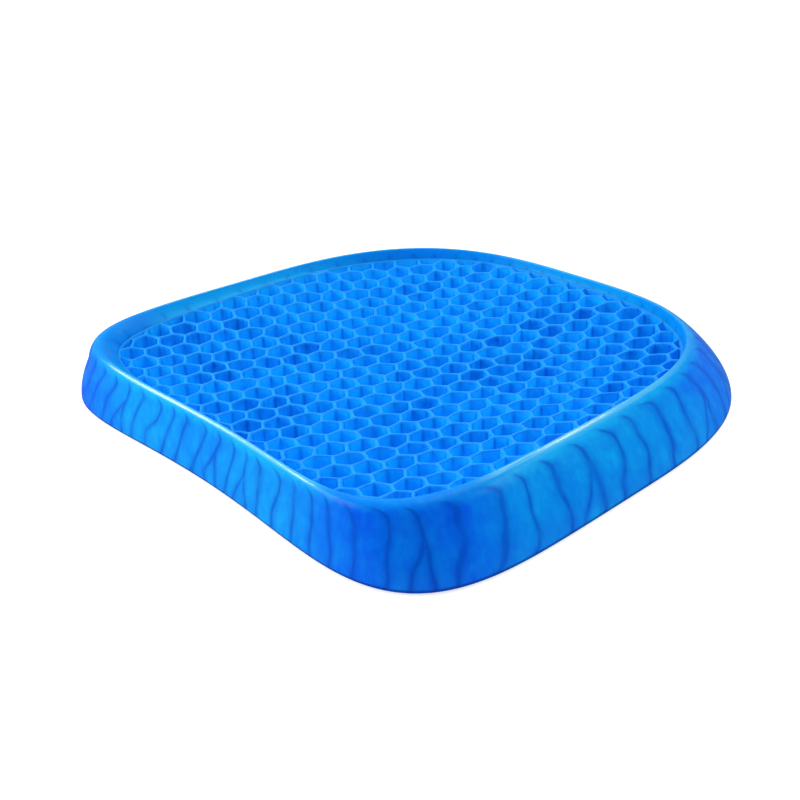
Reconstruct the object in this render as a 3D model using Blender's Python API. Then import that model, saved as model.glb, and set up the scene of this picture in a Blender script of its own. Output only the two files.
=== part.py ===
"""Moulded gel honeycomb seat cushion.

A wide dished field of open hexagonal cells in two layers, parted by a thin web, sits inside a raised
rim with a sharp crest. From the crest a skirt slopes outwards and down to the seat it lies on.

Frame: +X to the sitter's right, -Y to the front (the bowed side), +Z up. The origin is on the seat,
in the middle of the cushion's box. All lengths are in metres.
"""

import math

import bmesh
import bpy
import numpy as np

# Overall size, at the foot of the skirt and over the crest.
BASE_WIDTH = 0.372
BASE_DEPTH = 0.322
CREST_HEIGHT_SIDES = 0.0405
CREST_HEIGHT_BACK = 0.0332
CREST_HEIGHT_FRONT = 0.0355

# How far the skirt runs outwards between the crest and its foot.
SKIRT_RUN_SIDES = 0.0200
SKIRT_RUN_BACK = 0.0103
SKIRT_RUN_FRONT = 0.0235

# Plan shape: superellipse powers of the two halves, the taper towards the front and the hollow back.
BACK_POWER = 5.1
FRONT_POWER = 2.85
FRONT_TAPER = 0.068
BACK_HOLLOW = 0.0110

# Skirt and rim sections.
SKIRT_WALL = 0.0032
FOOT_WALL = 0.0060
FOOT_ROUND = 0.0018
SKIRT_BOW = 1.55
SKIRT_TOP = 0.80
CREST_WIDTH = 0.0012
CREST_SLOPE_RUN = 0.0080

# Dished seat surface: its height in the middle, its rise to each edge and how square the dish is.
SEAT_HEIGHT_MIDDLE = 0.0215
SEAT_RISE_SIDES = 0.0135
SEAT_RISE_BACK = 0.0035
SEAT_RISE_FRONT = 0.0090
DISH_POWER = 4.0

# Cells, the middle of one of them, and the web between the two layers.
CELL_PITCH = 0.0167
CELL_WALL = 0.0023
CELL_MIDDLE = (0.0052, -0.0040)
EDGE_WALL = 0.0015
WEB_UNDERSIDE = 0.0100
WEB_THICKNESS = 0.0015

# Clearance between pieces that touch, straight up, and sideways against the leaning skirt.
GAP = 0.0003
SIDE_GAP = 0.0006

# Facets.
OUTLINE_POINTS = 96
OUTLINE_SAMPLES = 4000
SKIRT_LEVELS = 5
CREST_LEVELS = 3

# Keeps a division by the distance from the middle defined at the middle.
TINY = 1e-9

WEB_TOP = WEB_UNDERSIDE + WEB_THICKNESS


def plan_curve(turn, depth):
    """Plan curve of unit half size at angles turn: a superellipse, of its own power in each half.

    Its width narrows towards the front, and the middle of its back is pulled in.
    """
    cosine = np.cos(turn)
    sine = np.sin(turn)
    power = np.where(sine > 0.0, BACK_POWER, FRONT_POWER)
    across = np.sign(cosine) * np.abs(cosine) ** (2.0 / power)
    along = np.sign(sine) * np.abs(sine) ** (2.0 / power)
    hollow = np.where(sine > 0.0, (1.0 - across**2) ** 2, 0.0)
    x = across * (1.0 + FRONT_TAPER * along)
    y = along - hollow * BACK_HOLLOW / (depth / 2.0)
    return np.stack([x, y], axis=1)


def plan_outline(turn, width, depth, back_shift):
    """Plan curve fitted to a box of width and depth that lies back_shift behind the origin."""
    whole = plan_curve(ALL_TURNS, depth)
    low = whole.min(axis=0)
    high = whole.max(axis=0)
    share = (plan_curve(turn, depth) - low) / (high - low) - 0.5
    return share * (width, depth) + (0.0, back_shift)


def even_turns(points):
    """Angles at which the closed outline, given at ALL_TURNS, is cut into equal steps."""
    closed = np.vstack([points, points[:1]])
    travelled = np.concatenate([[0.0], np.cumsum(np.linalg.norm(np.diff(closed, axis=0), axis=1))])
    wanted = np.linspace(0.0, travelled[-1], OUTLINE_POINTS, endpoint=False)
    return np.interp(wanted, travelled, np.append(ALL_TURNS, ALL_TURNS[0] + 2.0 * math.pi))


def moved_inwards(outline, distance):
    """The outline with each point moved by distance along its inward normal."""
    tangent = np.roll(outline, -1, axis=0) - np.roll(outline, 1, axis=0)
    tangent = tangent / np.linalg.norm(tangent, axis=1, keepdims=True)
    inward = np.stack([-tangent[:, 1], tangent[:, 0]], axis=1)
    return outline + distance * inward


ALL_TURNS = np.linspace(0.0, 2.0 * math.pi, OUTLINE_SAMPLES, endpoint=False) + math.pi / 2.0
TURNS = even_turns(plan_outline(ALL_TURNS, BASE_WIDTH, BASE_DEPTH, 0.0))
BASE_OUTLINE = plan_outline(TURNS, BASE_WIDTH, BASE_DEPTH, 0.0)
CREST_OUTLINE = plan_outline(
    TURNS,
    BASE_WIDTH - 2.0 * SKIRT_RUN_SIDES,
    BASE_DEPTH - SKIRT_RUN_BACK - SKIRT_RUN_FRONT,
    (SKIRT_RUN_FRONT - SKIRT_RUN_BACK) / 2.0,
)
FIELD_OUTLINE = moved_inwards(CREST_OUTLINE, CREST_SLOPE_RUN)
FIELD_MIDDLE = (FIELD_OUTLINE[:, 1].max() + FIELD_OUTLINE[:, 1].min()) / 2.0


def crest_height(outline):
    """Height of the crest over each outline point: it rises from the back and front to the sides."""
    across = (outline[:, 0] / np.abs(CREST_OUTLINE[:, 0]).max()) ** 2
    behind = (outline[:, 1] - CREST_OUTLINE[:, 1].min()) / np.ptp(CREST_OUTLINE[:, 1])
    ends = CREST_HEIGHT_FRONT + (CREST_HEIGHT_BACK - CREST_HEIGHT_FRONT) * behind
    return ends + (CREST_HEIGHT_SIDES - ends) * across


def seat_height(x, y):
    """Height of the dished field of cells: a bowl with square contours and its own rise to each edge."""
    half_width, half_depth = np.ptp(FIELD_OUTLINE, axis=0) / 2.0
    across = x / half_width
    along = (y - FIELD_MIDDLE) / half_depth
    reach = (across**DISH_POWER + along**DISH_POWER) ** (2.0 / DISH_POWER)
    end_rise = np.where(along > 0.0, SEAT_RISE_BACK, SEAT_RISE_FRONT)
    rise = (SEAT_RISE_SIDES * across**2 + end_rise * along**2) / (across**2 + along**2 + TINY)
    return SEAT_HEIGHT_MIDDLE + reach * rise


CREST_HEIGHTS = crest_height(CREST_OUTLINE)
LOWEST_CREST = CREST_HEIGHTS.min()


def loop_at(outline, height):
    """Outline points with their height, as rows of x, y, z."""
    return np.column_stack([outline, np.broadcast_to(height, len(outline))])


def skirt_loop(level, inset=0.0):
    """A loop inset from the skirt's outer face, which bows outwards; level runs from 0, seat, to 1, crest."""
    foot = FOOT_ROUND / LOWEST_CREST
    lean = max(0.0, (level - foot) / (1.0 - foot)) ** SKIRT_BOW
    outline = BASE_OUTLINE + (CREST_OUTLINE - BASE_OUTLINE) * lean
    return loop_at(moved_inwards(outline, inset), level * CREST_HEIGHTS)


def skirt_inner_loops():
    """Loops of the skirt's inner face from the seat up; its wall thins from the foot to the top."""
    walls = np.linspace(FOOT_WALL, SKIRT_WALL, SKIRT_LEVELS)
    return [skirt_loop(level, wall) for level, wall in zip(np.linspace(0.0, SKIRT_TOP, SKIRT_LEVELS), walls)]


def inside_skirt(height, clearance):
    """Outline of what fits inside the skirt at one height, on the straight facets of its inner face."""
    faces = np.stack(skirt_inner_loops())
    step = height / CREST_HEIGHTS / SKIRT_TOP * (SKIRT_LEVELS - 1)
    lower = np.minimum(step.astype(int), SKIRT_LEVELS - 2)
    share = (step - lower)[:, None]
    points = np.arange(OUTLINE_POINTS)
    outline = faces[lower, points, :2] * (1.0 - share) + faces[lower + 1, points, :2] * share
    return moved_inwards(outline, clearance)


def gel_material(name, colour):
    """Glossy coloured gel."""
    material = bpy.data.materials.new(name)
    material.use_nodes = True
    shader = material.node_tree.nodes["Principled BSDF"]
    shader.inputs["Base Color"].default_value = (*colour, 1.0)
    shader.inputs["Roughness"].default_value = 0.35
    shader.inputs["Metallic"].default_value = 0.0
    material.diffuse_color = (*colour, 1.0)
    return material


def add_object(name, mesh_data, colour):
    """Turns a bmesh into a named object with its own material."""
    bmesh.ops.recalc_face_normals(mesh_data, faces=mesh_data.faces)
    mesh = bpy.data.meshes.new(name)
    mesh_data.to_mesh(mesh)
    mesh_data.free()
    mesh.materials.append(gel_material(name + "_gel", colour))
    item = bpy.data.objects.new(name, mesh)
    bpy.context.scene.collection.objects.link(item)
    return item


def add_ring(name, loops, colour):
    """Closed ring whose section is the polygon that the loops make, in order."""
    ring = bmesh.new()
    rows = [[ring.verts.new(point) for point in loop] for loop in loops]
    for row, following in zip(rows, rows[1:] + rows[:1]):
        for index in range(OUTLINE_POINTS):
            after = (index + 1) % OUTLINE_POINTS
            ring.faces.new((row[index], row[after], following[after], following[index]))
    return add_object(name, ring, colour)


def inside(outline, points):
    """True for each point that lies inside the outline, by counting crossings."""
    start = outline
    end = np.roll(outline, -1, axis=0)
    x = points[:, 0, None]
    y = points[:, 1, None]
    spans = (start[:, 1] > y) != (end[:, 1] > y)
    rise = np.where(end[:, 1] == start[:, 1], 1.0, end[:, 1] - start[:, 1])
    crossing = start[:, 0] + (y - start[:, 1]) * (end[:, 0] - start[:, 0]) / rise
    return (spans & (x < crossing)).sum(axis=1) % 2 == 1


def cell_outlines(boundary):
    """Hexagons of every whole cell that leaves EDGE_WALL inside the boundary, pointed front and back."""
    limit = moved_inwards(boundary, EDGE_WALL)
    row_step = CELL_PITCH * math.sqrt(3.0) / 2.0
    radius = (CELL_PITCH - CELL_WALL) / math.sqrt(3.0)
    angles = math.pi / 2.0 + np.arange(6) * math.pi / 3.0
    corners = radius * np.stack([np.cos(angles), np.sin(angles)], axis=1)
    rows = math.ceil(BASE_DEPTH / 2.0 / row_step)
    columns = math.ceil(BASE_WIDTH / 2.0 / CELL_PITCH)
    cells = []
    for row in range(-rows, rows + 1):
        shift = 0.5 * (row % 2)
        for column in range(-columns, columns + 1):
            centre = np.array(CELL_MIDDLE) + ((column + shift) * CELL_PITCH, row * row_step)
            hexagon = centre + corners
            if inside(limit, hexagon).all():
                cells.append(hexagon)
    return cells


def add_plate(name, outline, top_outline, holes, bottom, top, colour):
    """Plate between two heights with holes through it; top may be a number or a function of x, y."""
    plate = bmesh.new()
    rank = plate.verts.layers.int.new("place_on_outline")
    for loop in [outline, *holes]:
        corners = [plate.verts.new((x, y, bottom)) for x, y in loop]
        for first, second in zip(corners, corners[1:] + corners[:1]):
            plate.edges.new((first, second))
    plate.verts.ensure_lookup_table()
    for place in range(len(outline)):
        plate.verts[place][rank] = place + 1
    bmesh.ops.triangle_fill(plate, use_beauty=True, use_dissolve=False, edges=plate.edges[:])
    raised = bmesh.ops.extrude_face_region(plate, geom=plate.faces[:], use_keep_orig=True)
    for vertex in (item for item in raised["geom"] if isinstance(item, bmesh.types.BMVert)):
        if vertex[rank]:
            vertex.co.xy = top_outline[vertex[rank] - 1]
        vertex.co.z = top(vertex.co.x, vertex.co.y) if callable(top) else top
    return add_object(name, plate, colour)


def add_upper_honeycomb():
    """Cells that open upwards: the dished field the sitter rests on."""
    cells = cell_outlines(FIELD_OUTLINE)
    add_plate(
        "upper_honeycomb", FIELD_OUTLINE, FIELD_OUTLINE, cells, WEB_TOP + GAP, seat_height, (0.02, 0.30, 0.95)
    )


def add_centre_web():
    """Thin sheet that parts the two layers of cells and reaches out to the skirt."""
    lower = inside_skirt(WEB_UNDERSIDE, SIDE_GAP)
    upper = inside_skirt(WEB_TOP, SIDE_GAP)
    add_plate("centre_web", lower, upper, [], WEB_UNDERSIDE, WEB_TOP, (0.05, 0.42, 1.0))


def add_lower_honeycomb():
    """Cells that open downwards, out to the inside of the skirt."""
    top = WEB_UNDERSIDE - GAP
    foot = inside_skirt(0.0, SIDE_GAP)
    under_web = inside_skirt(top, SIDE_GAP)
    add_plate("lower_honeycomb", foot, under_web, cell_outlines(under_web), 0.0, top, (0.01, 0.22, 0.85))


def add_outer_skirt():
    """Sloping side wall, from the foot up to just under the crest."""
    foot = FOOT_ROUND / LOWEST_CREST
    outer = [skirt_loop(0.0, FOOT_ROUND)]
    outer += [skirt_loop(level) for level in np.linspace(foot, SKIRT_TOP, SKIRT_LEVELS)]
    add_ring("outer_skirt", outer + skirt_inner_loops()[::-1], (0.03, 0.34, 0.98))


def add_top_rim():
    """Raised rim: the outside shoulder, the sharp crest and the slope down to the cells."""
    shoulder = SKIRT_TOP + GAP / LOWEST_CREST
    loops = [skirt_loop(level) for level in np.linspace(shoulder, 1.0, CREST_LEVELS)]
    loops.append(loop_at(moved_inwards(CREST_OUTLINE, CREST_WIDTH), CREST_HEIGHTS))
    field_side = moved_inwards(FIELD_OUTLINE, -GAP)
    loops.append(loop_at(field_side, seat_height(field_side[:, 0], field_side[:, 1])))
    loops.append(loop_at(field_side, WEB_TOP + GAP))
    loops.append(loop_at(inside_skirt(WEB_TOP + GAP, SIDE_GAP), WEB_TOP + GAP))
    loops.append(skirt_loop(shoulder, SKIRT_WALL + SIDE_GAP))
    add_ring("top_rim", loops, (0.10, 0.48, 1.0))


def main():
    for item in list(bpy.data.objects):
        bpy.data.objects.remove(item, do_unlink=True)
    add_lower_honeycomb()
    add_centre_web()
    add_upper_honeycomb()
    add_outer_skirt()
    add_top_rim()


main()
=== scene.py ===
"""Gel honeycomb seat cushion: finished surfaces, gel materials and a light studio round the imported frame.

The cushion is one soft moulding. It is shown as two layers of open hexagonal cells, the thin web between
them, and the ring of rim and skirt that holds them. All lengths are in metres, in the frame's own axes:
+X to the sitter's right, -Y to the bowed front, +Z up.
"""

import math

import bpy
import numpy as np
from bpy.props import FloatProperty, FloatVectorProperty, PointerProperty
from bpy.types import Operator, Panel, PropertyGroup
from mathutils import Matrix, Vector


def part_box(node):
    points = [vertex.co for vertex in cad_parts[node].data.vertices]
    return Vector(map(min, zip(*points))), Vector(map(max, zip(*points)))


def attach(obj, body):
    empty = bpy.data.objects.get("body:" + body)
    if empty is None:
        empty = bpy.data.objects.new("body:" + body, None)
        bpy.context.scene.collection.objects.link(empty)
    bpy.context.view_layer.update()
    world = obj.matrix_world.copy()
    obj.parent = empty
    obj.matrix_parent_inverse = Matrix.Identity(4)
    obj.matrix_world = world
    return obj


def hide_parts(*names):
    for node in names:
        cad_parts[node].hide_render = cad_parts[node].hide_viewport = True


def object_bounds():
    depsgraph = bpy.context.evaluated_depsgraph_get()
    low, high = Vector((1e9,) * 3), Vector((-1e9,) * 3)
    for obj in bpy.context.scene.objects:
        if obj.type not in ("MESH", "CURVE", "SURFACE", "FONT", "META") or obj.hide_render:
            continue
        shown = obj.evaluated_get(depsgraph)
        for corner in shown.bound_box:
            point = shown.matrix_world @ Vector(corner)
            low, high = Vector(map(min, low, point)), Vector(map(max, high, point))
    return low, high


bl_info = {
    "name": "Gel honeycomb cushion",
    "version": (1, 0, 0),
    "blender": (4, 5, 0),
    "location": "3D View > Sidebar > Cushion",
    "description": "Builds the surfaces, materials and studio of a gel honeycomb seat cushion",
    "category": "Object",
}

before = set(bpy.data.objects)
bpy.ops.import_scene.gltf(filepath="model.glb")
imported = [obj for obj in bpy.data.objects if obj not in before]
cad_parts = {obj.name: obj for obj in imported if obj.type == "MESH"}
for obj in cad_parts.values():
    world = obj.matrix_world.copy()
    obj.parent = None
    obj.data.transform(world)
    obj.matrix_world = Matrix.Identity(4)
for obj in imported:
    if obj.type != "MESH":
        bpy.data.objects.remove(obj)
CAD_LOW, CAD_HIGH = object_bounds()
WEB_LOW, WEB_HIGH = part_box("centre_web")

# Points round the outlines, and how finely the curve behind them is sampled.
AROUND = 384
CURVE_SAMPLES = 6000

# Outline points either side over which the turn of the outline is averaged.
TURN_REACH = 22

# Shares of the half depth: the inner slope gets shorter from the first forwards, and longer at the corners
# from the middle back to the second.
FRONT_START = 0.3
BACK_REACH = 0.5

# Loops in the foot's rounding, the skirt, the crest's lip and the inner slope.
FOOT_LOOPS = 5
SKIRT_LOOPS = 24
LIP_LOOPS = 9
SLOPE_LOOPS = 10

# Level of the skirt's lowest loop above the foot's rounding, how much of the pattern's height the lip takes,
# and the power that shapes the inner slope.
SKIRT_START = 0.10
LIP_SPAN = 0.02
SLOPE_POWER = 1.6

# How far the first wall line stands from the outline's first point, in walls.
WALL_OFFSET = 0.50

# Where the rim starts to round over at the corners, how far under the sharp crest it passes, and the small
# step from it down to the cells.
SHOULDER_LEVEL = 0.70
SHOULDER_DROP = 0.0007
EDGE_STEP = 0.0008

# Places on the rounded section of its first loop, the lip's first, the slope's first and its last.
ARC_STOPS = (0.0, 0.52, 0.76, 1.0)

# The rim is rounded by this many times the corner share, less the other.
ROUND_GAIN = 1.2
ROUND_START = 0.1

# Step between the walls that show through the sides of the skirt, in cell pitches.
SIDE_STEP = 1.30

# Starts the draw of the cells' tones.
TONE_SEED = 11

# Points round one cell: its six corners and the middles of its six sides.
CELL_POINTS = 12

# Rows and columns of cells either side of the first, before those outside the outline are left out.
LATTICE_REACH = 14

# A cell stays when its middle is at most the first of these pitches outside the outline, and is open when
# it is at most the second outside.
KEPT_REACH = 0.62
OPEN_REACH = 0.22

# A cell's corners lie this share as far out as in a true hexagon, as they are filled a little.
CORNER_PULL = 0.965

# Rings of a cell, from the wall's middle: share of the way to the mouth, and drop below the top in half
# walls. The last one lies at the floor.
CELL_PROFILE = ((0.0, 0.0), (0.58, 0.18), (1.0, 1.1), (1.0, None))

# Waves that sway the cell walls across and along: radians per metre along X and along Y, and phase.
SWAY_ACROSS = ((163.0, 211.0, 0.0), (-97.0, 307.0, 1.3))
SWAY_ALONG = ((223.0, -141.0, 0.7), (289.0, 83.0, 2.1))

# Decimals to which points are rounded when they are merged, and when the cells' rings are compared.
MERGE_DIGITS = 7
RING_DIGITS = 6

# Edges that turn more than this are drawn sharp.
SHARP_ANGLE = math.radians(50.0)

# Drop of the studio's floor below the cushion, half its width, how much light it gives off, and how much of
# that and how dark a grey the gloss mirrors.
FLOOR_DROP = 0.0004
FLOOR_HALF = 6.0
FLOOR_GLOW = 0.72
FLOOR_GLOW_MIRRORED = 0.10
FLOOR_GREY_MIRRORED = 0.05

# Area lights: name, direction from the cushion, width, height and power.
AREA_LIGHTS = (
    ("left_box", (0.70, 0.90, 0.60), 0.6, 0.6, 9.0),
    ("left_strip", (1.0, 0.62, 0.62), 0.7, 0.20, 3.8),
    ("right_strip", (-0.72, -0.68, 0.70), 0.5, 0.16, 3.5),
)

# How far the area lights stand from the cushion's middle.
LIGHT_DISTANCE = 1.4

# Sun for the even light from above: direction, strength and angular size.
SUN_DIRECTION = (0.05, -0.45, 1.0)
SUN_STRENGTH = 1.4
SUN_ANGLE = math.radians(45.0)

# Strength of the surroundings as a light; the camera sees them at full strength.
AMBIENT = 0.37

# Camera: which way it looks in plan, how far down, how much it leans, how far away it stands, how far its
# target lies from the origin to its right and up, and its lens.
CAMERA_AZIMUTH = 126.66
CAMERA_ELEVATION = 25.36
CAMERA_ROLL = 5.17
CAMERA_DISTANCE = 0.7949
CAMERA_TARGET_RIGHT = -0.0141
CAMERA_TARGET_UP = -0.0049
CAMERA_LENS = 58.05
CAMERA_SENSOR = 36.0

TINY = 1e-9


# ---------------------------------------------------------------------------------------------- sizes


def length_value(name, description, default):
    """Property that holds a length in metres."""
    return FloatProperty(name=name, description=description, default=default, unit="LENGTH")


def colour_value(name, description, default):
    """Property that holds a linear colour."""
    return FloatVectorProperty(name=name, description=description, default=default, subtype="COLOR")


class CushionSizes(PropertyGroup):
    """Sizes of the cushion, in metres."""

    base_width: length_value("Width", "Across the foot of the skirt", CAD_HIGH.x - CAD_LOW.x)
    base_depth: length_value("Depth", "Front to back at the foot", CAD_HIGH.y - CAD_LOW.y)
    crest_sides: length_value("Side height", "Crest height at the sides", CAD_HIGH.z)
    crest_back: length_value("Back height", "Crest height at the back's middle", 0.0332)
    crest_front: length_value("Front height", "Crest height at the front's middle", 0.0355)
    run_sides: length_value("Side run", "Skirt's spread at the sides", 0.0200)
    run_back: length_value("Back run", "Skirt's spread at the back", 0.0103)
    run_front: length_value("Front run", "Skirt's spread at the front", 0.0235)
    hollow: length_value("Back hollow", "How far the back's middle is pulled in", 0.0110)
    foot_round: length_value("Foot rounding", "Radius of the skirt's lower edge", 0.0018)
    crest_width: length_value("Crest width", "Thickness of the crest's lip", 0.0024)
    crest_lip: length_value("Crest lip", "Height of the crest's rounding", 0.0012)
    slope_run: length_value("Inner slope", "From the crest in to the cells", 0.0080)
    front_gain: length_value("Front gain", "How much shorter the inner slope is in front", 0.0042)
    corner_loss: length_value(
        "Corner loss", "How much longer the inner slope is at the back corners", 0.0045
    )
    foot_wall: length_value("Foot wall", "Width of the ring that the skirt stands on", 0.0060)
    skirt_wall: length_value("Skirt wall", "Thickness of the skirt at its top", 0.0032)
    seat_middle: length_value("Seat height", "Height of the cells in the middle", 0.0215)
    rise_sides: length_value("Rise to sides", "Dish of the seat to its sides", 0.0135)
    rise_back: length_value("Rise to back", "Dish of the seat to its back", 0.0035)
    rise_front: length_value("Rise to front", "Dish of the seat to its front", 0.0090)
    pitch: length_value("Cell pitch", "From cell to cell", 0.0167)
    cell_wall: length_value("Cell wall", "Wall between cells", 0.0017)
    edge_wall: length_value("Edge wall", "Wall of a cell that the rim cuts", 0.0012)
    cell_x: length_value("Cell X", "Where the middle of one cell lies, across", 0.0052)
    cell_y: length_value("Cell Y", "Where the middle of one cell lies, along", -0.0040)
    sway: length_value("Sway", "How far the cell walls stray from a straight pattern", 0.0010)
    back_power: FloatProperty(
        name="Back squareness", description="Superellipse power of the back half", default=5.1, min=2.0
    )
    front_power: FloatProperty(
        name="Front squareness", description="Superellipse power of the front half", default=2.85, min=2.0
    )
    taper: FloatProperty(name="Taper", description="Narrowing towards the front", default=0.068)
    bow: FloatProperty(name="Skirt bow", description="How far the skirt bulges", default=1.55, min=1.0)
    dish_power: FloatProperty(
        name="Dish squareness", description="How square the dish's contours are", default=4.0, min=2.0
    )


class CushionColours(PropertyGroup):
    """Colours of the gel, linear."""

    # Painted highlight: the tops of the cell walls are painted paler than the inside of the cells.
    lip: colour_value("Wall tops", "Tops of the cell walls", (0.016, 0.33, 0.96))
    cell: colour_value("Inside of cells", "Cell walls below their tops", (0.0, 0.19, 0.78))
    # Painted light: the walls are painted lighter towards the web, against the shade deep in the cells.
    deep: colour_value("Bottom of cells", "Cell walls near the web", (0.002, 0.36, 0.82))
    skirt: colour_value("Skirt", "Skirt between the cell walls", (0.0, 0.205, 0.80))
    line: colour_value("Lines", "Cell walls seen through the skirt", (0.0, 0.06, 0.55))
    # Painted shade: the skirt is painted darker where the outline turns a corner.
    corner_shade: colour_value("Painted corner shade", "Skirt where it turns a corner", (0.0, 0.032, 0.86))
    pale: colour_value("Thin gel", "Gel where light comes through", (0.003, 0.42, 0.90))
    glow: colour_value("Glow", "Light that the cell walls let through", (0.001, 0.074, 0.19))
    # Painted highlight: a pale line along the crest.
    edge: colour_value("Crest", "Painted highlight along the crest", (0.10, 0.58, 0.98))
    # Painted shade: a dark band along the foot where the skirt meets the floor.
    foot: colour_value("Foot", "Lower edge of the skirt", (0.0, 0.03, 0.26))
    floor: colour_value("Floor", "Studio floor", (0.52, 0.52, 0.52))


# ------------------------------------------------------------------------------------------- outlines


def plan_curve(turn, size, hollow_share):
    """Plan curve of unit half size at the angles turn.

    x = sign(cos) |cos|^(2/power) (1 + taper y) and y = sign(sin) |sin|^(2/power), with one power for the
    back half and one for the front; the back's middle is pulled in by hollow_share (1 - x^2)^2.
    """
    cosine = np.cos(turn)
    sine = np.sin(turn)
    power = np.where(sine > 0.0, size.back_power, size.front_power)
    across = np.sign(cosine) * np.abs(cosine) ** (2.0 / power)
    along = np.sign(sine) * np.abs(sine) ** (2.0 / power)
    hollow = np.where(sine > 0.0, (1.0 - across**2) ** 2, 0.0)
    return np.stack([across * (1.0 + size.taper * along), along - hollow * hollow_share], axis=1)


def plan_outline(turn, size, width, depth, back_shift):
    """The plan curve scaled to a box of width and depth whose middle lies back_shift behind the origin."""
    share = size.hollow / (depth / 2.0)
    whole = plan_curve(np.linspace(0.0, 2.0 * math.pi, CURVE_SAMPLES, endpoint=False), size, share)
    low = whole.min(axis=0)
    high = whole.max(axis=0)
    points = (plan_curve(turn, size, share) - low) / (high - low) - 0.5
    return points * (width, depth) + (0.0, back_shift)


def inward_normals(outline):
    """Unit normals of a closed counter-clockwise outline, pointing in: the tangent turned left."""
    tangent = np.roll(outline, -1, axis=0) - np.roll(outline, 1, axis=0)
    tangent /= np.linalg.norm(tangent, axis=1, keepdims=True)
    return np.stack([-tangent[:, 1], tangent[:, 0]], axis=1)


def moved_inwards(outline, distance):
    """Each point moved along the outline's inward normal by distance, one number or one for each point."""
    return outline + np.reshape(distance, (-1, 1)) * inward_normals(outline)


def corner_share(outline):
    """How strongly the outline turns at each point, as a share of its strongest turn.

    The turn is the change of the normal per step, averaged over TURN_REACH steps either side with a raised
    cosine.
    """
    normal = inward_normals(outline)
    turn = np.linalg.norm(np.roll(normal, -1, axis=0) - normal, axis=1)
    window = np.hanning(2 * TURN_REACH + 1)
    padded = np.concatenate([turn[-TURN_REACH:], turn, turn[:TURN_REACH]])
    averaged = np.convolve(padded, window / window.sum(), mode="valid")
    return np.clip(averaged / averaged.max(), 0.0, 1.0)


class Shape:
    """Outlines and heights that every piece is worked out from."""

    def __init__(self, size):
        self.size = size
        dense = np.linspace(0.0, 2.0 * math.pi, CURVE_SAMPLES, endpoint=False)
        points = plan_outline(dense, size, size.base_width, size.base_depth, 0.0)
        steps = np.linalg.norm(np.roll(points, -1, axis=0) - points, axis=1)
        travelled = np.concatenate([[0.0], np.cumsum(steps)])
        wanted = np.linspace(0.0, travelled[-1], AROUND, endpoint=False)
        turn = np.interp(wanted, travelled, np.append(dense, 2.0 * math.pi))
        self.base = plan_outline(turn, size, size.base_width, size.base_depth, 0.0)
        self.crest = plan_outline(
            turn,
            size,
            size.base_width - 2.0 * size.run_sides,
            size.base_depth - size.run_back - size.run_front,
            (size.run_front - size.run_back) / 2.0,
        )
        self.corners = corner_share(self.base)
        along = self.crest[:, 1] / np.abs(self.crest[:, 1]).max()
        ahead = np.clip(FRONT_START - along, 0.0, 1.0)
        behind = np.clip(along / BACK_REACH, 0.0, 1.0)
        self.slope_run = size.slope_run - size.front_gain * ahead + size.corner_loss * behind * self.corners
        self.field = moved_inwards(self.crest, self.slope_run)
        self.crest_heights = self.height_of_crest()
        self.lowest_crest = self.crest_heights.min()

    def height_of_crest(self):
        """Crest height: straight from front to back in the middle, rising with x^2 to the sides."""
        size = self.size
        across = (self.crest[:, 0] / np.abs(self.crest[:, 0]).max()) ** 2
        behind = (self.crest[:, 1] - self.crest[:, 1].min()) / np.ptp(self.crest[:, 1])
        ends = size.crest_front + (size.crest_back - size.crest_front) * behind
        return ends + (size.crest_sides - ends) * across

    def seat(self, x, y):
        """Height of the cells' tops: a bowl with superellipse contours and its own rise to each edge."""
        size = self.size
        half_width, half_depth = np.ptp(self.field, axis=0) / 2.0
        middle = (self.field[:, 1].max() + self.field[:, 1].min()) / 2.0
        across = x / half_width
        along = (y - middle) / half_depth
        reach = (across**size.dish_power + along**size.dish_power) ** (2.0 / size.dish_power)
        end_rise = np.where(along > 0.0, size.rise_back, size.rise_front)
        rise = (size.rise_sides * across**2 + end_rise * along**2) / (across**2 + along**2 + TINY)
        return size.seat_middle + reach * rise

    def skirt_loop(self, level, inset=0.0):
        """Loop on the skirt at a level from 0, foot, to 1, crest: it leans in by level^bow of the run."""
        foot = self.size.foot_round / self.lowest_crest
        lean = max(0.0, (level - foot) / (1.0 - foot)) ** self.size.bow
        outline = moved_inwards(self.base + (self.crest - self.base) * lean, inset)
        return np.column_stack([outline, level * self.crest_heights])


# --------------------------------------------------------------------------------------------- meshes


def add_piece(name, points, faces, material, nodes, marks=None, corner_places=None):
    """Makes a smooth piece of points and four-cornered faces that stands for CAD nodes of the root body.

    Equal points become one. A face that loses a corner that way becomes a triangle, and one that loses
    more is left out. marks are named numbers at the points, and corner_places a place on the pattern for
    each corner of each face.
    """
    merged, first, place = np.unique(
        np.round(points, MERGE_DIGITS), axis=0, return_index=True, return_inverse=True
    )
    corners = place.reshape(-1)[faces]
    repeated = corners == np.roll(corners, -1, axis=1)
    opposite = (corners[:, 0] == corners[:, 2]) | (corners[:, 1] == corners[:, 3])
    whole = (repeated.sum(axis=1) == 0) & ~opposite
    single = (repeated.sum(axis=1) == 1) & ~opposite
    kept = ~repeated[single]
    triangles = corners[single][kept].reshape(-1, 3)
    mesh = bpy.data.meshes.new(name)
    mesh.from_pydata(merged.tolist(), [], corners[whole].tolist() + triangles.tolist())
    for label, values in (marks or {}).items():
        layer = mesh.attributes.new(label, "FLOAT", "POINT")
        layer.data.foreach_set("value", np.ascontiguousarray(values[first], dtype=np.float32))
    if corner_places is not None:
        flat = np.vstack([corner_places[whole].reshape(-1, 2), corner_places[single][kept].reshape(-1, 2)])
        mesh.uv_layers.new(name="around").data.foreach_set("uv", flat.astype(np.float32).ravel())
    mesh.shade_smooth()
    mesh.set_sharp_from_angle(angle=SHARP_ANGLE)
    mesh.materials.append(material)
    piece = bpy.data.objects.new(name, mesh)
    bpy.context.scene.collection.objects.link(piece)
    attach(piece, "root")
    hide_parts(*nodes)
    return piece


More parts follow.
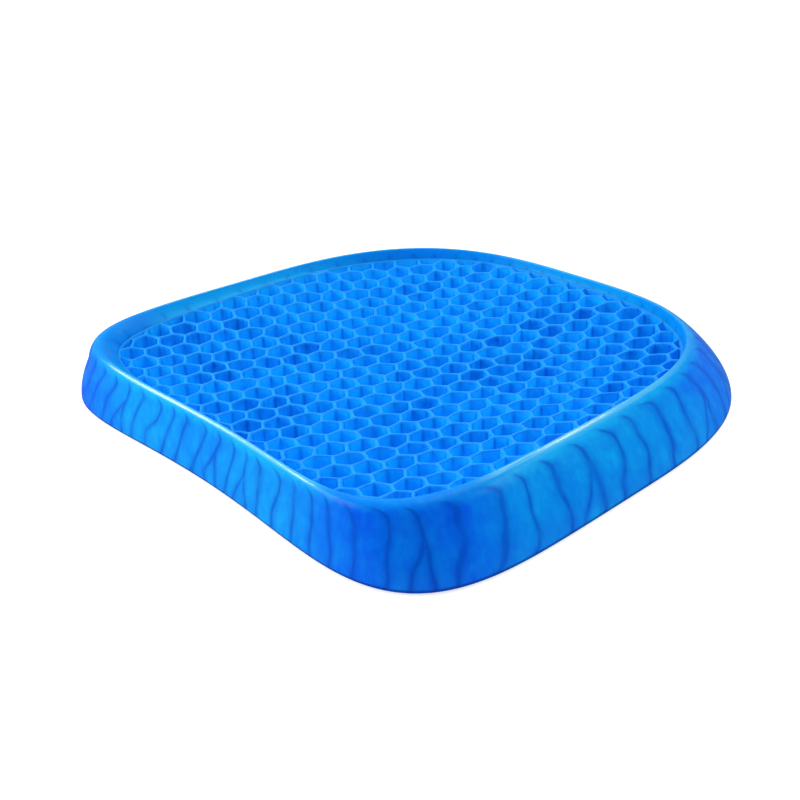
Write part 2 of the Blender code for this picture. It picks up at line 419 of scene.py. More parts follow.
def grid_faces(rows, columns, closed_rows):
    """Faces of a grid of rows by columns points; columns always close, rows close when asked."""
    row = np.arange(rows if closed_rows else rows - 1)[:, None]
    column = np.arange(columns)[None, :]
    following = (row + 1) % rows
    after = (column + 1) % columns
    here = row * columns
    there = following * columns
    return np.stack((here + column, here + after, there + after, there + column), axis=-1).reshape(-1, 4)


def ring_loops(shape):
    """Closed section of rim and skirt, as loops of points, up the outside and down the inside.

    The foot is a quarter circle, the outside follows the skirt's levels, the crest is half an ellipse,
    the inner slope falls to the cells as (1 - share)^SLOPE_POWER, and the hidden side drops straight to the
    web.
    With each loop comes its place on the pattern: 0 at the foot, 1 at the crest and 2 at the cells.
    """
    size = shape.size
    heights = shape.crest_heights
    loops = []
    for angle in np.linspace(0.0, math.pi / 2.0, FOOT_LOOPS):
        foot = shape.skirt_loop(0.0, size.foot_round * (1.0 - math.sin(angle)))
        foot[:, 2] = size.foot_round * (1.0 - math.cos(angle))
        loops.append((foot, 0.0))
    top = 1.0 - size.crest_lip / shape.lowest_crest
    loops += [(shape.skirt_loop(level), level) for level in np.linspace(SKIRT_START, top, SKIRT_LOOPS)]
    for angle in np.linspace(0.0, math.pi, LIP_LOOPS)[1:]:
        inset = size.crest_width / 2.0 * (1.0 - math.cos(angle))
        height = heights - size.crest_lip * (1.0 - math.sin(angle))
        lip = np.column_stack([moved_inwards(shape.crest, inset), height])
        loops.append((lip, 1.0 + LIP_SPAN * angle / math.pi))
    lip_foot = heights - size.crest_lip
    seat = shape.seat(shape.field[:, 0], shape.field[:, 1])
    for share in np.linspace(0.0, 1.0, SLOPE_LOOPS)[1:]:
        inset = size.crest_width + (shape.slope_run - size.crest_width) * share
        height = seat + (lip_foot - seat) * (1.0 - share) ** SLOPE_POWER
        slope = np.column_stack([moved_inwards(shape.crest, inset), height])
        loops.append((slope, 1.0 + LIP_SPAN + (1.0 - LIP_SPAN) * share))
    round_rim(shape, loops)
    loops.append((np.column_stack([shape.field, np.full(AROUND, WEB_HIGH.z)]), 2.0))
    loops.append((shape.skirt_loop(WEB_HIGH.z / shape.lowest_crest, size.skirt_wall), 2.0))
    loops.append((shape.skirt_loop(0.0, size.foot_wall), 0.0))
    return np.stack([points for points, _ in loops]), np.array([level for _, level in loops])


def round_rim(shape, loops):
    """Rounds the rim over where the outline turns, in the loops from the skirt's upper part to the cells.

    There the section becomes a parabola (1 - u)^2 A + 2 u (1 - u) C + u^2 E from the skirt A to the edge of
    the cells E. Its middle passes SHOULDER_DROP under the sharp crest, which gives C. Half of it belongs
    to the loops under the lip, a quarter to the lip's own. The corner share blends the two.
    """
    levels = np.array([level for _, level in loops])
    first = int(np.argmax(levels > SHOULDER_LEVEL))
    lip = int(np.argmax(levels > 1.0))
    slope = int(np.argmax(levels > 1.0 + 1.5 * LIP_SPAN))
    last = len(loops) - 2
    start = loops[first][0]
    end = loops[-1][0] + (0.0, 0.0, EDGE_STEP)
    crest = np.column_stack([shape.crest, shape.crest_heights - SHOULDER_DROP])
    control = 2.0 * crest - 0.5 * (start + end)
    share = np.clip(ROUND_GAIN * shape.corners - ROUND_START, 0.0, 1.0)[:, None]
    for place in range(first, last + 1):
        sharp, level = loops[place]
        along = np.interp(place, (first, lip, slope, last), ARC_STOPS)
        arc = (1.0 - along) ** 2 * start + 2.0 * along * (1.0 - along) * control + along**2 * end
        loops[place] = (sharp + (arc - sharp) * share, level)


def wall_counts(shape):
    """Number of cell walls passed on the way round the foot, at each of its points and once more at the end.

    A step dx, dy passes sqrt((dx / pitch)^2 + (dy / (SIDE_STEP pitch))^2) walls, because fewer of them stand
    square to the sides. The counts are stretched a little so that the way round passes a whole number.
    """
    step = (np.roll(shape.base, -1, axis=0) - shape.base) / shape.size.pitch
    passed = np.concatenate([[0.0], np.cumsum(np.hypot(step[:, 0], step[:, 1] / SIDE_STEP))])
    return passed * round(passed[-1]) / passed[-1]


def add_ring(shape, material):
    """Rim and skirt in one closed ring, with its places round and up the skirt for the pattern."""
    loops, levels = ring_loops(shape)
    faces = grid_faces(len(loops), AROUND, closed_rows=True)
    row, column = np.divmod(np.arange(len(faces)), AROUND)
    counts = wall_counts(shape)
    around = np.stack([counts[column], counts[column + 1], counts[column + 1], counts[column]], axis=1)
    below = levels[row]
    above = levels[(row + 1) % len(levels)]
    places = np.stack([around, np.stack([below, below, above, above], axis=1)], axis=-1)
    return add_piece(
        "gel_rim_and_skirt",
        loops.reshape(-1, 3),
        faces,
        material,
        ("outer_skirt", "top_rim"),
        marks={"corner_turn": np.tile(shape.corners, len(loops))},
        corner_places=places,
    )


def signed_distance(points, outline):
    """Distance of points inside the outline (negative outside), and the nearest point on it.

    Each point is dropped on every straight step of the outline, and the nearest foot counts. Its side
    comes from the cross product with that step.
    """
    start = outline
    step = np.roll(outline, -1, axis=0) - start
    offset = points[:, None, :] - start[None]
    share = np.clip((offset * step).sum(-1) / (step**2).sum(-1), 0.0, 1.0)
    foot = start + share[..., None] * step
    gap = points[:, None, :] - foot
    nearest = (gap**2).sum(-1).argmin(axis=1)
    rows = np.arange(len(points))
    gap = gap[rows, nearest]
    step = step[nearest]
    side = np.sign(step[:, 0] * gap[:, 1] - step[:, 1] * gap[:, 0])
    return side * np.linalg.norm(gap, axis=1), foot[rows, nearest]


def kept_inside(points, outline, inset):
    """Points no nearer to the outline than inset: a point past that is moved to it, along the normal."""
    flat = points.reshape(-1, 2)
    limit = moved_inwards(outline, inset)
    distance, foot = signed_distance(flat, limit)
    return np.where(distance[:, None] < 0.0, foot, flat).reshape(points.shape)


def cell_middles(size, outline):
    """Middles of the hexagonal lattice's cells near the outline: rows along X, every other one shifted."""
    row_step = size.pitch * math.sqrt(3.0) / 2.0
    steps = np.arange(-LATTICE_REACH, LATTICE_REACH + 1)
    column, row = np.meshgrid(steps, steps)
    x = size.cell_x + (column + 0.5 * (row % 2)) * size.pitch
    y = size.cell_y + row * row_step
    middles = np.stack([x.ravel(), y.ravel()], axis=1)
    distance, _ = signed_distance(middles, outline)
    near = distance > -KEPT_REACH * size.pitch
    return middles[near], distance[near]


def waves(points, terms):
    """Sum of sin(a x + b y + c) over the terms (a, b, c)."""
    return sum(np.sin(a * points[..., 0] + b * points[..., 1] + c) for a, b, c in terms)


def swayed(points, amount):
    """Points of the cell pattern moved by crossing waves, as in a soft moulding: at most amount each way."""
    sway = np.stack([waves(points, SWAY_ACROSS), waves(points, SWAY_ALONG)], axis=-1)
    return points + 0.5 * amount * sway


def cell_ring():
    """Corners and side middles of a hexagon of unit width, pointed front and back; corners come first."""
    angle = math.pi / 2.0 + np.arange(CELL_POINTS) * 2.0 * math.pi / CELL_POINTS
    is_corner = np.arange(CELL_POINTS) % 2 == 0
    radius = np.where(is_corner, 1.0 / math.sqrt(3.0), 0.5)
    return np.stack([radius * np.cos(angle), radius * np.sin(angle)], axis=1), is_corner


def honeycomb(shape, outline, mouth, floor):
    """Points, faces and marks of a layer of open cells between the heights mouth and floor.

    Each cell is a grid: 12 points round it by five rings, from the middle of its walls' top over a
    rounded lip, down its inside and out to the middle of its walls at the floor. Points past the outline
    are moved in to it. A cell that lies mostly outside is solid: its inner rings shrink to a point.
    """
    size = shape.size
    middles, distance = cell_middles(size, outline)
    unit, is_corner = cell_ring()
    full = unit * size.pitch
    open_share = (size.pitch - size.cell_wall) / size.pitch
    mouth_ring = full * open_share * np.where(is_corner, CORNER_PULL, 1.0)[:, None]
    solid = distance < -OPEN_REACH * size.pitch
    half_wall = size.cell_wall * 0.5
    rings = []
    up = 1.0 if mouth(0.0, 0.0) > floor else -1.0
    core = kept_inside(middles, outline, 0.0)
    for share, drop in CELL_PROFILE:
        ring = swayed(middles[:, None, :] + full * (1.0 - share) + mouth_ring * share, size.sway)
        ring = kept_inside(ring, outline, share * size.edge_wall)
        if share > 0.0:
            ring[solid] = core[solid][:, None, :]
        top = mouth(ring[..., 0], ring[..., 1])
        if drop is None:
            height = np.full(ring.shape[:2], floor)
        else:
            height = top - up * (drop * half_wall) * (~solid)[:, None]
        rings.append(np.concatenate([ring, height[..., None]], axis=-1))
    outer = rings[0].copy()
    outer[..., 2] = floor
    rings.append(outer)
    points = np.stack(rings, axis=1)
    levels = len(rings)
    start = np.arange(len(middles))[:, None, None] * levels * CELL_POINTS
    faces = (grid_faces(levels, CELL_POINTS, closed_rows=False)[None] + start).reshape(-1, 4)
    faces = np.vstack([faces, edge_faces(points)])
    if up < 0.0:
        faces = faces[:, ::-1]
    depth = np.abs(mouth(points[..., 0], points[..., 1]) - points[..., 2])
    crease = np.broadcast_to(is_corner.astype(float), depth.shape)
    tone = np.random.default_rng(TONE_SEED).random(len(middles))
    tone = np.broadcast_to(tone[:, None, None], depth.shape)
    marks = {
        "cell_depth": depth.reshape(-1),
        "cell_corner": crease.reshape(-1),
        "cell_tone": tone.reshape(-1),
    }
    return points.reshape(-1, 3), faces, marks


def edge_faces(points):
    """Side wall of a honeycomb: joins top and floor wherever a cell's outer ring has no neighbour."""
    _, levels, around, _ = points.shape
    start = np.round(points[:, 0, :, :2], RING_DIGITS)
    end = np.roll(start, -1, axis=1)
    forward = np.concatenate([start, end], axis=-1).reshape(-1, 4)
    backward = np.concatenate([end, start], axis=-1).reshape(-1, 4)
    _, code = np.unique(np.vstack([forward, backward]), axis=0, return_inverse=True)
    code = code.reshape(-1)
    ahead, behind = code[: len(forward)], code[len(forward) :]
    free = ~np.isin(ahead, behind) & (ahead != behind)
    cell, place = np.divmod(np.flatnonzero(free), around)
    after = (place + 1) % around
    top = cell * levels * around
    low = top + (levels - 1) * around
    return np.stack([top + place, low + place, low + after, top + after], axis=1)


def add_honeycomb(name, shape, outline, mouth, floor, material, node):
    """One layer of cells, marked with the depth below its mouth and with its corners."""
    points, faces, marks = honeycomb(shape, outline, mouth, floor)
    return add_piece(name, points, faces, material, (node,), marks=marks)


# ------------------------------------------------------------------------------------------ materials

# Cells: how far one differs in lightness from the next, from where; how strongly streaks and pale patches of
# painted light through the gel show.
TONE_SPAN = 0.6
TONE_START = -0.2
CELL_STREAKS = 0.35
PALE_SHARE = 0.95

# Skirt and rim: how strongly each effect shows in the colour.
SKIRT_STREAKS = 0.30
CREST_PAINTED_LIGHT = 0.7
CORNER_SHADE_SHARE = 0.55
SHADE_SHARE = 0.34
LINE_SHARE = 0.50
CREST_HIGHLIGHT_SHARE = 0.7


def new_group(name, inputs, outputs):
    """Empty shader node group with named inputs, as name: (type, default), and outputs, as name: type."""
    group = bpy.data.node_groups.new(name, "ShaderNodeTree")
    for label, (kind, default) in inputs.items():
        socket = group.interface.new_socket(label, in_out="INPUT", socket_type=kind)
        if default is not None:
            socket.default_value = default
    for label, kind in outputs.items():
        group.interface.new_socket(label, in_out="OUTPUT", socket_type=kind)
    return group, group.nodes.new("NodeGroupInput"), group.nodes.new("NodeGroupOutput")


class Wires:
    """Short ways to add and link nodes in one tree."""

    def __init__(self, tree):
        self.tree = tree

    def link(self, source, target):
        self.tree.links.new(source, target)

    def put(self, value, socket):
        """Links a socket, or sets a number or colour."""
        if isinstance(value, bpy.types.NodeSocket):
            self.tree.links.new(value, socket)
        else:
            socket.default_value = value

    def math(self, operation, *values):
        node = self.tree.nodes.new("ShaderNodeMath")
        node.operation = operation
        for value, socket in zip(values, node.inputs):
            self.put(value, socket)
        return node.outputs[0]

    def smooth(self, value, low, high, from_value=0.0, to_value=1.0):
        """Smooth step of value between low and high."""
        node = self.tree.nodes.new("ShaderNodeMapRange")
        node.interpolation_type = "SMOOTHSTEP"
        for item, socket in zip((value, low, high, from_value, to_value), node.inputs):
            self.put(item, socket)
        return node.outputs[0]

    def blend(self, share, first, second):
        """Colour that goes from first to second."""
        node = self.tree.nodes.new("ShaderNodeMix")
        node.data_type = "RGBA"
        node.clamp_factor = True
        self.put(share, node.inputs[0])
        self.put(first, node.inputs[6])
        self.put(second, node.inputs[7])
        return node.outputs[2]

    def noise(self, vector, scale, detail=2.0):
        node = self.tree.nodes.new("ShaderNodeTexNoise")
        self.put(vector, node.inputs["Vector"])
        node.inputs["Scale"].default_value = scale
        node.inputs["Detail"].default_value = detail
        return node.outputs["Fac"]

    def parts(self, vector):
        node = self.tree.nodes.new("ShaderNodeSeparateXYZ")
        self.put(vector, node.inputs[0])
        return node.outputs


def wall_line_group():
    """Group that draws the cell walls that show through the skirt, from places round and up the skirt.

    A wall stands at every whole count round. It leans by Lean from foot to crest, sways with a noise and
    hooks back towards the wall before it under the crest: shift = Lean (up - 0.5) + Hook (rise above
    0.78, squared). Some walls fork into two legs below two thirds of the height. Lines come out as a
    mask that starts just under the crest, and Shade as a wide soft one along the same walls.
    """
    inputs = {
        "Place": ("NodeSocketVector", None),
        "Vector": ("NodeSocketVector", None),
        "Offset": ("NodeSocketFloat", 0.0),
        "Lean": ("NodeSocketFloat", -0.5),
        "Hook": ("NodeSocketFloat", 20.0),
        "Width": ("NodeSocketFloat", 0.105),
        "Forks": ("NodeSocketFloat", 0.22),
    }
    group, entry, result = new_group(
        "wall_lines", inputs, {"Lines": "NodeSocketFloat", "Shade": "NodeSocketFloat"}
    )
    wires = Wires(group)
    around, up, _ = wires.parts(entry.outputs["Place"])
    outside = wires.math("MINIMUM", up, 1.0)
    sway = wires.math("SUBTRACT", wires.noise(entry.outputs["Vector"], 36.0, 1.0), 0.5)
    rise = wires.math("MAXIMUM", wires.math("SUBTRACT", outside, 0.78), 0.0)
    hook = wires.math("MULTIPLY", wires.math("MULTIPLY", rise, rise), entry.outputs["Hook"])
    lean = wires.math("MULTIPLY", wires.math("SUBTRACT", outside, 0.5), entry.outputs["Lean"])
    shift = wires.math("ADD", wires.math("ADD", lean, hook), wires.math("MULTIPLY", sway, 0.9))
    count = wires.math("ADD", wires.math("ADD", around, entry.outputs["Offset"]), shift)
    cell = wires.math("FLOOR", wires.math("ADD", count, 0.5))
    beside = wires.math("ABSOLUTE", wires.math("SUBTRACT", count, cell))
    chance = wires.tree.nodes.new("ShaderNodeTexWhiteNoise")
    chance.noise_dimensions = "1D"
    wires.link(cell, chance.inputs["W"])
    forked = wires.math("LESS_THAN", chance.outputs["Value"], entry.outputs["Forks"])
    spread = wires.math("MULTIPLY", wires.smooth(up, 0.05, 0.70, 0.36, 0.0), forked)
    gap = wires.math("ABSOLUTE", wires.math("SUBTRACT", beside, spread))
    width = entry.outputs["Width"]
    line = wires.smooth(gap, wires.math("MULTIPLY", width, 0.2), width, 1.0, 0.0)
    start = wires.smooth(up, 0.86, 0.95, 1.0, 0.0)
    slope = wires.math("MULTIPLY", wires.smooth(up, 1.15, 1.7), 0.40)
    shown = wires.math("ADD", start, slope)
    strength = wires.smooth(wires.noise(entry.outputs["Vector"], 55.0, 1.0), 0.30, 0.55, 0.45, 1.0)
    wires.link(wires.math("MULTIPLY", wires.math("MULTIPLY", line, shown), strength), result.inputs["Lines"])
    shade = wires.smooth(gap, 0.0, 0.30, 1.0, 0.0)
    wires.link(wires.math("MULTIPLY", shade, shown), result.inputs["Shade"])
    return group


def cloud_group():
    """Group that clouds the gel: patches a few centimetres wide and a finer mottle, from 0 to 1."""
    inputs = {
        "Vector": ("NodeSocketVector", None),
        "Patches": ("NodeSocketFloat", 0.7),
        "Mottle": ("NodeSocketFloat", 0.3),
    }
    group, entry, result = new_group("gel_clouds", inputs, {"Cloud": "NodeSocketFloat"})
    wires = Wires(group)
    broad = wires.smooth(wires.noise(entry.outputs["Vector"], 22.0, 1.0), 0.35, 0.65)
    fine = wires.smooth(wires.noise(entry.outputs["Vector"], 130.0, 2.0), 0.35, 0.68)
    total = wires.math(
        "ADD",
        wires.math("MULTIPLY", broad, entry.outputs["Patches"]),
        wires.math("MULTIPLY", fine, entry.outputs["Mottle"]),
    )
    wires.link(total, result.inputs["Cloud"])
    return group


def streak_group():
    """Group that draws fine upright streaks, from 0 to 1: a noise drawn out in height by Length."""
    inputs = {"Vector": ("NodeSocketVector", None), "Length": ("NodeSocketFloat", 6.0)}
    group, entry, result = new_group("gel_streaks", inputs, {"Streak": "NodeSocketFloat"})
    wires = Wires(group)
    x, y, z = wires.parts(entry.outputs["Vector"])
    drawn = group.nodes.new("ShaderNodeCombineXYZ")
    height = wires.math("DIVIDE", z, entry.outputs["Length"])
    for value, socket in zip((x, y, height), drawn.inputs):
        wires.link(value, socket)
    wires.link(wires.smooth(wires.noise(drawn.outputs[0], 330.0, 2.0), 0.40, 0.70), result.inputs["Streak"])
    return group


def gel_shader(name, roughness, ripple):
    """New material whose shader is soft gel with a faint ripple; its colour is linked by the caller."""
    material = bpy.data.materials.new(name)
    material.use_nodes = True
    tree = material.node_tree
    wires = Wires(tree)
    shader = tree.nodes["Principled BSDF"]
    shader.inputs["Roughness"].default_value = roughness
    shader.inputs["IOR"].default_value = 1.48
    shader.inputs["Specular IOR Level"].default_value = 0.05
    shader.inputs["Subsurface Weight"].default_value = 0.30
    shader.inputs["Subsurface Radius"].default_value = (0.15, 0.5, 1.0)
    shader.inputs["Subsurface Scale"].default_value = 0.004
    bump = tree.nodes.new("ShaderNodeBump")
    bump.inputs["Strength"].default_value = ripple
    bump.inputs["Distance"].default_value = 0.001
    wires.link(wires.noise(object_coordinates(wires), 95.0, 2.0), bump.inputs["Height"])
    wires.link(bump.outputs["Normal"], shader.inputs["Normal"])
    return material, wires, shader


def placed_group(wires, group, vector, **values):
    """A group node in a material, with its vector linked and its values set."""
    node = wires.tree.nodes.new("ShaderNodeGroup")
    node.node_tree = group
    wires.link(vector, node.inputs["Vector"])
    for label, value in values.items():
        node.inputs[label].default_value = value
    return node


def object_coordinates(wires):
    return wires.tree.nodes.new("ShaderNodeTexCoord").outputs["Object"]


def colour4(colour):
    return (*colour, 1.0)


def mark(wires, name):
    """Number marked on the mesh under that name."""
    node = wires.tree.nodes.new("ShaderNodeAttribute")
    node.attribute_name = name
    return node.outputs["Fac"]


def cell_material(name, colours, clouds, streaks):
    """Gel of the cells: painted highlight on the lips, deep blue inside, painted shade in corners, painted
    light near the web.
    """
    material, wires, shader = gel_shader(name, roughness=0.36, ripple=0.15)
    place = object_coordinates(wires)
    depth = mark(wires, "cell_depth")
    cloud = placed_group(wires, clouds, place, Patches=0.80, Mottle=0.30).outputs["Cloud"]
    streak = placed_group(wires, streaks, place, Length=5.0).outputs["Streak"]
    tone = wires.math("MULTIPLY_ADD", mark(wires, "cell_tone"), TONE_SPAN, TONE_START)
    light = wires.math("ADD", wires.math("MULTIPLY_ADD", streak, CELL_STREAKS, tone), cloud)
    # Painted light: the inside turns from the darker cell blue to the lighter deep blue towards the web.
    inside = wires.blend(wires.smooth(depth, 0.002, 0.010), colour4(colours.cell), colour4(colours.deep))
    # Painted light: lighter streaks and patches stand for light coming through the gel.
    clouded = wires.blend(wires.math("MULTIPLY", light, PALE_SHARE), inside, colour4(colours.pale))
    below_lip = wires.smooth(depth, 0.0003, 0.0018)
    # Painted shade: the cells' corners are darkened towards the line blue below the lips, unevenly, and their
    # glow is dimmed there.
    corner = wires.smooth(mark(wires, "cell_corner"), 0.55, 1.0)
    uneven = wires.smooth(wires.noise(place, 75.0, 1.0), 0.35, 0.65, 0.05, 0.5)
    crease_shade = wires.math("MULTIPLY", wires.math("MULTIPLY", corner, below_lip), uneven)
    dark = wires.blend(crease_shade, clouded, colour4(colours.line))
    # Painted highlight: the band at the top of the walls gets the paler lip colour.
    wires.link(wires.blend(below_lip, colour4(colours.lip), dark), shader.inputs["Base Color"])
    shining = wires.math("MULTIPLY", below_lip, wires.math("MULTIPLY_ADD", light, 0.7, 0.55))
    glow = wires.blend(shining, (0.0, 0.0, 0.0, 1.0), colour4(colours.glow))
    dimmed = wires.blend(wires.math("MULTIPLY", crease_shade, 0.6), glow, (0.0, 0.0, 0.0, 1.0))
    wires.link(dimmed, shader.inputs["Emission Color"])
    shader.inputs["Emission Strength"].default_value = 1.0
    return material


def ring_material(colours, lines, clouds, streaks):
    """Gel of rim and skirt: the cell walls behind it show as dark lines that start under the crest; painted
    shade darkens corners and foot, painted light and a painted highlight mark the crest.
    """
    material, wires, shader = gel_shader("skirt_gel", roughness=0.26, ripple=0.30)
    place = object_coordinates(wires)
    around = wires.tree.nodes.new("ShaderNodeUVMap")
    around.uv_map = "around"
    walls = placed_group(wires, lines, place, Offset=WALL_OFFSET)
    wires.link(around.outputs["UV"], walls.inputs["Place"])
    cloud = placed_group(wires, clouds, place, Patches=0.50, Mottle=0.35).outputs["Cloud"]
    streak = placed_group(wires, streaks, place, Length=4.0).outputs["Streak"]
    cloud = wires.math("MULTIPLY_ADD", streak, SKIRT_STREAKS, cloud)
    up = wires.parts(around.outputs["UV"])[1]
    # Painted light: paler patches, upright streaks and a band that grows under the crest stand for light
    # coming through the gel.
    crest = wires.math("MULTIPLY", wires.smooth(up, 0.80, 0.97), CREST_PAINTED_LIGHT)
    thin = wires.math("MINIMUM", wires.math("ADD", wires.math("MULTIPLY", cloud, 0.6), crest), 1.0)
    # Painted shade: the skirt is darkened where the outline turns, and gets less painted light there.
    corner_shade = wires.smooth(mark(wires, "corner_turn"), 0.05, 0.75)
    body = wires.blend(
        wires.math("MULTIPLY", corner_shade, CORNER_SHADE_SHARE), colour4(colours.skirt), colour4(colours.corner_shade)
    )
    thin_here = wires.math("MULTIPLY", thin, wires.math("MULTIPLY_ADD", corner_shade, -0.5, 1.0))
    gel = wires.blend(thin_here, body, colour4(colours.pale))
    shade = wires.math("MULTIPLY", walls.outputs["Shade"], SHADE_SHARE)
    shaded = wires.blend(shade, gel, colour4(colours.line))
    line = wires.math("MULTIPLY", walls.outputs["Lines"], LINE_SHARE)
    lined = wires.blend(line, shaded, colour4(colours.line))
    # The narrow crest carries a painted highlight in a paler colour and is glossier than the rest, on its
    # outer side, except where it is rounded.
    rising = wires.smooth(up, 0.95, 0.99)
    near_crest = wires.math("MULTIPLY", rising, wires.smooth(up, 1.011, 1.017, 1.0, 0.0))
    straight = wires.smooth(mark(wires, "corner_turn"), 0.12, 0.6, 1.0, 0.04)
    sharp = wires.math("MULTIPLY", near_crest, straight)
    crest_highlighted = wires.blend(wires.math("MULTIPLY", sharp, CREST_HIGHLIGHT_SHARE), lined, colour4(colours.edge))
    # Painted shade: the foot is darkened towards a navy, as a painted contact shadow.
    foot = wires.smooth(up, 0.0, 0.055, 0.75, 0.0)
    wires.link(wires.blend(foot, crest_highlighted, colour4(colours.foot)), shader.inputs["Base Color"])
    wires.link(sharp, shader.inputs["Coat Weight"])
    shader.inputs["Coat Roughness"].default_value = 0.12
    return material


def web_material(colours, clouds):
    """Thin web at the bottom of the cells."""
    material, wires, shader = gel_shader("web_gel", roughness=0.36, ripple=0.15)
    cloud = placed_group(wires, clouds, object_coordinates(wires), Patches=0.6, Mottle=0.4).outputs["Cloud"]
    wires.link(wires.blend(cloud, colour4(colours.deep), colour4(colours.pale)), shader.inputs["Base Color"])
    return material


def shared_group(name, maker):
    """The node group of that name, made on first use."""
    return bpy.data.node_groups.get(name) or maker()


# ------------------------------------------------------------------------------------------ operators


class CUSHION_OT_ring(Operator):
    """Build the rim and the sloping skirt in one closed ring"""

    bl_idname = "cushion.ring"
    bl_label = "Rim and skirt"

    def execute(self, context):
        scene = context.scene
        lines = shared_group("wall_lines", wall_line_group)
        clouds = shared_group("gel_clouds", cloud_group)
        streaks = shared_group("gel_streaks", streak_group)
        material = ring_material(scene.cushion_colours, lines, clouds, streaks)
        add_ring(Shape(scene.cushion_sizes), material)
        return {"FINISHED"}


class CUSHION_OT_cells(Operator):
    """Build the two layers of open cells"""

    bl_idname = "cushion.cells"
    bl_label = "Cells"

    def execute(self, context):
        colours = context.scene.cushion_colours
        clouds = shared_group("gel_clouds", cloud_group)
        streaks = shared_group("gel_streaks", streak_group)
        shape = Shape(context.scene.cushion_sizes)
        upper = cell_material("upper_cell_gel", colours, clouds, streaks)
        add_honeycomb("gel_upper_cells", shape, shape.field, shape.seat, WEB_HIGH.z, upper, "upper_honeycomb")
        lower = cell_material("lower_cell_gel", colours, clouds, streaks)
        foot = moved_inwards(shape.base, shape.size.foot_wall)

        def seat_side(x, y):
            return np.zeros_like(x)

        add_honeycomb("gel_lower_cells", shape, foot, seat_side, WEB_LOW.z, lower, "lower_honeycomb")
        return {"FINISHED"}


class CUSHION_OT_web(Operator):
    """Give the web between the layers its gel"""

    bl_idname = "cushion.web"
    bl_label = "Web"

    def execute(self, context):
        clouds = shared_group("gel_clouds", cloud_group)
        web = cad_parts["centre_web"]
        material = web_material(context.scene.cushion_colours, clouds)
        web.data.materials.clear()
        web.data.materials.append(material)
        return {"FINISHED"}


class CUSHION_OT_stage(Operator):
    """Set the floor, the lights and the camera"""

    bl_idname = "cushion.stage"
    bl_label = "Studio"

    def execute(self, context):
        add_floor(context.scene.cushion_colours.floor)
        add_lights()
        add_camera()
        return {"FINISHED"}


class CUSHION_PT_panel(Panel):
    bl_idname = "CUSHION_PT_panel"
    bl_label = "Gel cushion"
    bl_space_type = "VIEW_3D"
    bl_region_type = "UI"
    bl_category = "Cushion"

    def draw(self, context):
        for group in (context.scene.cushion_sizes, context.scene.cushion_colours):
            for name in group.bl_rna.properties.keys():
                if name not in ("name", "rna_type"):
                    self.layout.prop(group, name)
        for operator in OPERATORS:
            self.layout.operator(operator.bl_idname)


# -------------------------------------------------------------------------------------------- studio


def add_floor(colour):
    """Pale floor, large enough that its edge is never seen, and darker where gloss mirrors it."""
    signs = ((-1.0, -1.0), (1.0, -1.0), (1.0, 1.0), (-1.0, 1.0))
    height = CAD_LOW.z - FLOOR_DROP
    mesh = bpy.data.meshes.new("floor")
    mesh.from_pydata([(x * FLOOR_HALF, y * FLOOR_HALF, height) for x, y in signs], [], [(0, 1, 2, 3)])
    material = bpy.data.materials.new("floor")
    material.use_nodes = True
    shader = material.node_tree.nodes["Principled BSDF"]
    shader.inputs["Roughness"].default_value = 0.8
    shader.inputs["Specular IOR Level"].default_value = 0.1
    shader.inputs["Emission Color"].default_value = (1.0, 1.0, 1.0, 1.0)
    wires = Wires(material.node_tree)
    mirrored = material.node_tree.nodes.new("ShaderNodeLightPath").outputs["Is Glossy Ray"]
    seen = wires.blend(mirrored, colour4(colour), colour4([FLOOR_GREY_MIRRORED] * 3))
    wires.link(seen, shader.inputs["Base Color"])
    glow = wires.math("MULTIPLY_ADD", mirrored, FLOOR_GLOW_MIRRORED - FLOOR_GLOW, FLOOR_GLOW)
    wires.link(glow, shader.inputs["Emission Strength"])
    mesh.materials.append(material)
    floor = bpy.data.objects.new("floor", mesh)
    bpy.context.scene.collection.objects.link(floor)


def add_area_light(name, direction, width, height, power):
    """Soft light that shines from a direction to the middle of the cushion."""
    light = bpy.data.lights.new(name, "AREA")
    light.shape = "RECTANGLE"
    light.size = width
    light.size_y = height
    light.energy = power
    item = bpy.data.objects.new(name, light)
    item.location = np.array(direction) / np.linalg.norm(direction) * LIGHT_DISTANCE
    item.rotation_mode = "QUATERNION"
    item.rotation_quaternion = item.location.to_track_quat("Z", "Y")
    bpy.context.scene.collection.objects.link(item)


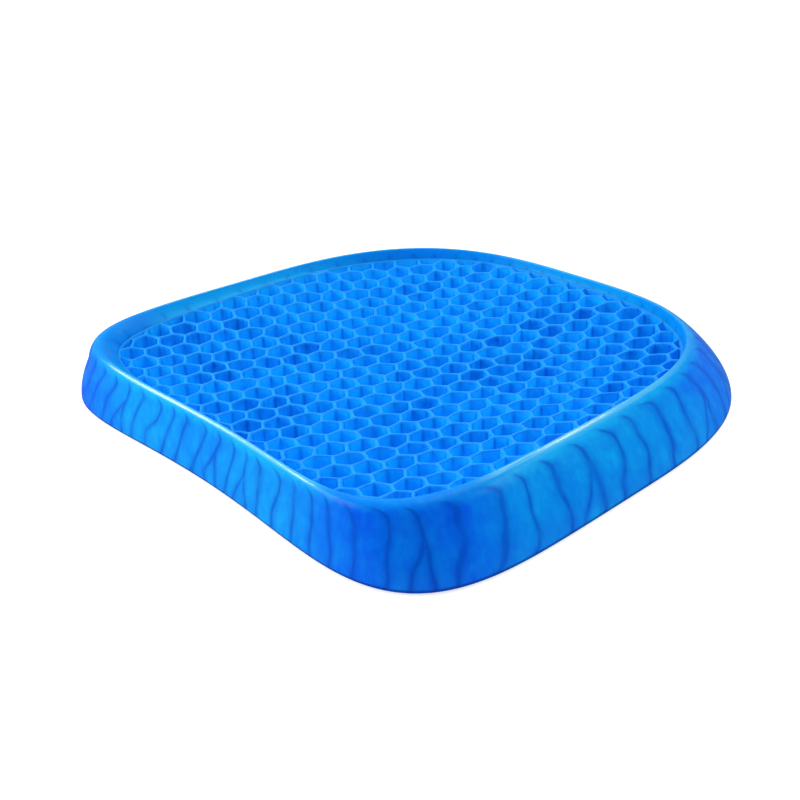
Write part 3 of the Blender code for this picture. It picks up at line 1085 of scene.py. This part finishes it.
def add_lights():
    """White surroundings that light the scene softly, a soft box, strips for the crest's gloss and a sun."""
    world = bpy.data.worlds.new("studio")
    world.use_nodes = True
    wires = Wires(world.node_tree)
    background = world.node_tree.nodes["Background"]
    background.inputs["Color"].default_value = (1.0, 1.0, 1.0, 1.0)
    seen = world.node_tree.nodes.new("ShaderNodeLightPath").outputs["Is Camera Ray"]
    wires.link(wires.math("MAXIMUM", seen, AMBIENT), background.inputs["Strength"])
    bpy.context.scene.world = world
    bpy.context.scene.view_settings.view_transform = "Standard"
    for light in AREA_LIGHTS:
        add_area_light(*light)
    sun = bpy.data.lights.new("sky_sun", "SUN")
    sun.energy = SUN_STRENGTH
    sun.angle = SUN_ANGLE
    item = bpy.data.objects.new("sky_sun", sun)
    item.rotation_mode = "QUATERNION"
    item.rotation_quaternion = Vector(SUN_DIRECTION).to_track_quat("Z", "Y")
    bpy.context.scene.collection.objects.link(item)


def add_camera():
    """Camera that looks down on the cushion's back left corner."""
    azimuth = math.radians(CAMERA_AZIMUTH)
    elevation = math.radians(CAMERA_ELEVATION)
    roll = math.radians(CAMERA_ROLL)
    right = np.array([math.cos(azimuth), -math.sin(azimuth), 0.0])
    level = np.array([math.sin(azimuth), math.cos(azimuth), 0.0])
    upright = np.array([0.0, 0.0, 1.0])
    ahead = level * math.cos(elevation) - upright * math.sin(elevation)
    up = level * math.sin(elevation) + upright * math.cos(elevation)
    place = right * CAMERA_TARGET_RIGHT + up * CAMERA_TARGET_UP - ahead * CAMERA_DISTANCE
    side = right * math.cos(roll) - up * math.sin(roll)
    top = right * math.sin(roll) + up * math.cos(roll)
    lens = bpy.data.cameras.new("camera")
    lens.lens = CAMERA_LENS
    lens.sensor_width = CAMERA_SENSOR
    camera = bpy.data.objects.new("camera", lens)
    turned = Matrix((side, top, -ahead)).transposed().to_4x4()
    camera.matrix_world = Matrix.Translation(place) @ turned
    bpy.context.scene.collection.objects.link(camera)
    bpy.context.scene.camera = camera


# ---------------------------------------------------------------------------------------------- start

OPERATORS = (CUSHION_OT_ring, CUSHION_OT_cells, CUSHION_OT_web, CUSHION_OT_stage)
CLASSES = (CushionSizes, CushionColours, *OPERATORS, CUSHION_PT_panel)


def register():
    for item in CLASSES:
        bpy.utils.register_class(item)
    bpy.types.Scene.cushion_sizes = PointerProperty(type=CushionSizes)
    bpy.types.Scene.cushion_colours = PointerProperty(type=CushionColours)


def unregister():
    del bpy.types.Scene.cushion_colours
    del bpy.types.Scene.cushion_sizes
    for item in reversed(CLASSES):
        bpy.utils.unregister_class(item)


def main():
    register()
    bpy.ops.cushion.ring()
    bpy.ops.cushion.cells()
    bpy.ops.cushion.web()
    bpy.ops.cushion.stage()


if __name__ == "__main__":
    main()
